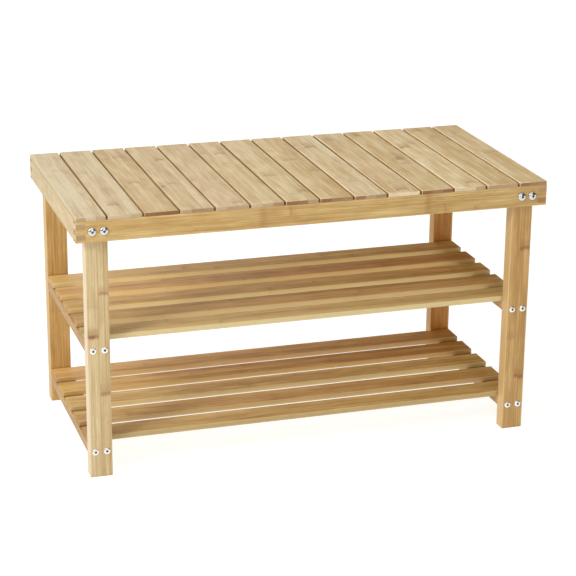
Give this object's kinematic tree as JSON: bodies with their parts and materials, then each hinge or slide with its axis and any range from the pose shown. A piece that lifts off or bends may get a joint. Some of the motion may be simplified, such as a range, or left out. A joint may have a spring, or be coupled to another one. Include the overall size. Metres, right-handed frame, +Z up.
{
  "type": "slatted bench with shelves",
  "caption": "Entryway bench in bamboo with a slatted seat on a finger-jointed frame, flat legs and slatted shoe shelves beneath.",
  "frame": {"origin": "on the floor under the middle of the bench", "axes": "+X along the bench's length, +Y from the front to the back, +Z up"},
  "size_m": [0.8, 0.408, 0.45],
  "materials": {
    "rail_bamboo": "clear satin lacquer on laminated bamboo",
    "slat_bamboo": "clear satin lacquer on laminated bamboo",
    "leg_bamboo": "clear satin lacquer on laminated bamboo",
    "shelf_bamboo": "clear satin lacquer on laminated bamboo",
    "dowel_bamboo": "plain, unfinished",
    "bolt_steel": "bright nickel plate",
    "insert_steel": "zinc plate",
    "nail_steel": "bright drawn steel"
  },
  "bodies": {
    "root": {"seat_front_rail": "rail_bamboo", "seat_back_rail": "rail_bamboo", "seat_left_rail": "rail_bamboo", "seat_right_rail": "rail_bamboo", "seat_slat_01": "slat_bamboo", "seat_slat_02": "slat_bamboo", "seat_slat_03": "slat_bamboo", "seat_slat_04": "slat_bamboo", "seat_slat_05": "slat_bamboo", "seat_slat_06": "slat_bamboo", "seat_slat_07": "slat_bamboo", "seat_slat_08": "slat_bamboo", "seat_slat_09": "slat_bamboo", "seat_slat_10": "slat_bamboo", "seat_slat_11": "slat_bamboo", "seat_slat_12": "slat_bamboo", "seat_slat_13": "slat_bamboo", "seat_slat_14": "slat_bamboo", "leg_front_left": "leg_bamboo", "leg_front_right": "leg_bamboo", "leg_back_left": "leg_bamboo", "leg_back_right": "leg_bamboo", "upper_shelf_left_rail": "shelf_bamboo", "upper_shelf_right_rail": "shelf_bamboo", "lower_shelf_left_rail": "shelf_bamboo", "lower_shelf_right_rail": "shelf_bamboo", "upper_shelf_slat_1": "shelf_bamboo", "upper_shelf_slat_2": "shelf_bamboo", "upper_shelf_slat_3": "shelf_bamboo", "upper_shelf_slat_4": "shelf_bamboo", "upper_shelf_slat_5": "shelf_bamboo", "lower_shelf_slat_1": "shelf_bamboo", "lower_shelf_slat_2": "shelf_bamboo", "lower_shelf_slat_3": "shelf_bamboo", "lower_shelf_slat_4": "shelf_bamboo", "lower_shelf_slat_5": "shelf_bamboo", "seat_bolts": "bolt_steel", "leg_inserts": "insert_steel", "seat_dowels": "dowel_bamboo", "upper_shelf_bolts": "bolt_steel", "lower_shelf_bolts": "bolt_steel", "upper_shelf_inserts": "insert_steel", "lower_shelf_inserts": "insert_steel", "upper_shelf_brads": "nail_steel", "lower_shelf_brads": "nail_steel"}
  },
  "joints": []
}
